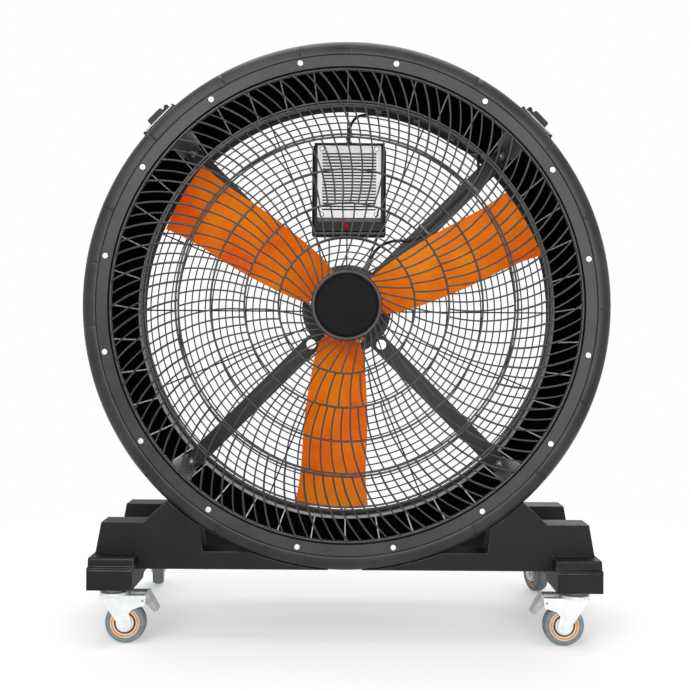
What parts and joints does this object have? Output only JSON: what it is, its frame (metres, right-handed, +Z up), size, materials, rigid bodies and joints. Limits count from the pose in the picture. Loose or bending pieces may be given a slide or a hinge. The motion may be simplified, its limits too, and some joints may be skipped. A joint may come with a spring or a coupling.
{
  "type": "drum fan",
  "caption": "Large round drum fan with a domed wire guard, three broad blades and a motor on four struts, on a low base with swivelling casters.",
  "frame": {"origin": "on the floor, midway between the two long feet and midway along them", "axes": "+Z up, +Y along the fan's axis from the front guard to the rear guard, so the front faces -Y, +X to the right seen from the front"},
  "size_m": [1.2898, 0.6608, 1.466],
  "materials": {
    "drum_plastic": "satin black moulded plastic",
    "base_plastic": "fine grained black moulded plastic",
    "foam": "open cell foam",
    "liner_mesh": "black expanded mesh",
    "light_strip": "bare folded edge",
    "strut_paint": "satin black paint",
    "guard_wire": "gloss black coated wire",
    "hub_disc": "plain satin black plate",
    "zinc": "zinc plated",
    "motor_paint": "dark grey enamel",
    "steel": "ground steel",
    "copper_stator": "laminations with enamelled windings",
    "lead_rubber": "matt black sheath",
    "lead_fitting": "grey nylon",
    "blade": "orange painted aluminium",
    "hub_cast": "cast aluminium",
    "box_black": "black moulded plastic",
    "box_cover": "brushed sheet",
    "board": "green board",
    "wires": "coloured sheath",
    "handle_pad": "black rubber",
    "handle_plate": "brushed steel",
    "handle_grip": "black moulded grip",
    "caster_steel": "bright zinc plated pressed steel",
    "caster_wheel": "grey tyre on a light core",
    "knob_black": "black moulded",
    "rocker_red": "red moulded"
  },
  "bodies": {
    "machine": {"drum_shell": "drum_plastic", "front_ring": "drum_plastic", "rear_ring": "drum_plastic", "acoustic_foam": "foam", "wall_liner": "liner_mesh", "liner_strips": "light_strip", "wall_plates": "strut_paint", "front_guard_rings": "guard_wire", "front_guard_outer_spokes": "guard_wire", "front_guard_inner_spokes": "guard_wire", "guard_hub_disc": "hub_disc", "panel_screws": "zinc", "rear_guard_rings": "guard_wire", "rear_guard_spokes": "guard_wire", "strut_feet": "strut_paint", "strut_arms": "strut_paint", "strut_bolts": "zinc", "motor_mount": "strut_paint", "motor_housing": "motor_paint", "motor_front_cover": "motor_paint", "motor_rear_cover": "motor_paint", "motor_bearings": "steel", "motor_stator": "copper_stator", "motor_lead": "lead_rubber", "lead_fittings": "lead_fitting", "control_box_body": "box_black", "control_box_cover": "box_cover", "control_box_frame": "box_black", "control_circuit_board": "board", "control_fittings": "box_black", "control_wires": "wires", "handle_pads": "handle_pad", "handle_plates": "handle_plate", "base_foot_left": "base_plastic", "base_foot_right": "base_plastic", "cradle_front": "base_plastic", "cradle_rear": "base_plastic", "base_bolts": "zinc", "caster_plates": "caster_steel"},
    "rotor": {"rotor_core": "steel", "rotor_shaft": "steel", "fan_hub": "hub_cast", "blade_1": "blade", "blade_2": "blade", "blade_3": "blade", "hub_bolts": "zinc"},
    "fork_front_left": {"caster_fork_front_left": "caster_steel"},
    "wheel_front_left": {"caster_wheel_front_left": "caster_wheel"},
    "pedal_left": {"brake_pedal_left": "caster_steel"},
    "fork_front_right": {"caster_fork_front_right": "caster_steel"},
    "wheel_front_right": {"caster_wheel_front_right": "caster_wheel"},
    "pedal_right": {"brake_pedal_right": "caster_steel"},
    "fork_rear_left": {"caster_fork_rear_left": "caster_steel"},
    "wheel_rear_left": {"caster_wheel_rear_left": "caster_wheel"},
    "fork_rear_right": {"caster_fork_rear_right": "caster_steel"},
    "wheel_rear_right": {"caster_wheel_rear_right": "caster_wheel"},
    "grip_left": {"handle_grip_left": "handle_grip"},
    "grip_right": {"handle_grip_right": "handle_grip"},
    "knob": {"speed_knob": "knob_black"},
    "rocker": {"power_rocker": "rocker_red"}
  },
  "joints": [
    {"name": "rotor_spin", "type": "hinge", "parent": "machine", "child": "rotor", "pos_m": [0, -0.1045, 0.821], "axis": [0, 1, 0], "continuous": true},
    {"name": "caster_swivel_front_left", "type": "hinge", "parent": "machine", "child": "fork_front_left", "pos_m": [-0.559, -0.2625, 0.13], "axis": [0, 0, 1], "continuous": true},
    {"name": "wheel_spin_front_left", "type": "hinge", "parent": "fork_front_left", "child": "wheel_front_left", "pos_m": [-0.531, -0.2625, 0.05], "axis": [0, 1, 0], "continuous": true},
    {"name": "brake_pedal_left_press", "type": "hinge", "parent": "fork_front_left", "child": "pedal_left", "pos_m": [-0.487, -0.2625, 0.106], "axis": [0, 1, 0], "range_deg": [0, 12]},
    {"name": "caster_swivel_front_right", "type": "hinge", "parent": "machine", "child": "fork_front_right", "pos_m": [0.559, -0.2625, 0.13], "axis": [0, 0, 1], "continuous": true},
    {"name": "wheel_spin_front_right", "type": "hinge", "parent": "fork_front_right", "child": "wheel_front_right", "pos_m": [0.531, -0.2625, 0.05], "axis": [0, -1, 0], "continuous": true},
    {"name": "brake_pedal_right_press", "type": "hinge", "parent": "fork_front_right", "child": "pedal_right", "pos_m": [0.487, -0.2625, 0.106], "axis": [0, -1, 0], "range_deg": [0, 12]},
    {"name": "caster_swivel_rear_left", "type": "hinge", "parent": "machine", "child": "fork_rear_left", "pos_m": [-0.559, 0.2595, 0.13], "axis": [0, 0, 1], "continuous": true},
    {"name": "wheel_spin_rear_left", "type": "hinge", "parent": "fork_rear_left", "child": "wheel_rear_left", "pos_m": [-0.56338, 0.28715, 0.05], "axis": [-0.9877, -0.1564, 0], "continuous": true},
    {"name": "caster_swivel_rear_right", "type": "hinge", "parent": "machine", "child": "fork_rear_right", "pos_m": [0.559, 0.2595, 0.13], "axis": [0, 0, 1], "continuous": true},
    {"name": "wheel_spin_rear_right", "type": "hinge", "parent": "fork_rear_right", "child": "wheel_rear_right", "pos_m": [0.56765, 0.23287, 0.05], "axis": [0.9511, 0.309, 0], "continuous": true},
    {"name": "handle_grip_left_fold", "type": "hinge", "parent": "machine", "child": "grip_left", "pos_m": [-0.44927, -0.1595, 1.31016], "axis": [0, 1, 0], "range_deg": [0, 95]},
    {"name": "handle_grip_right_fold", "type": "hinge", "parent": "machine", "child": "grip_right", "pos_m": [0.44927, -0.1595, 1.31016], "axis": [0, -1, 0], "range_deg": [0, 95]},
    {"name": "speed_knob_turn", "type": "hinge", "parent": "machine", "child": "knob", "pos_m": [0.051, 0.1825, 1.2122], "axis": [0, -1, 0], "range_deg": [0, 270]},
    {"name": "power_rocker_tip", "type": "hinge", "parent": "machine", "child": "rocker", "pos_m": [-0.041, 0.1725, 1.2122], "axis": [-1, 0, 0], "range_deg": [0, 16]}
  ]
}
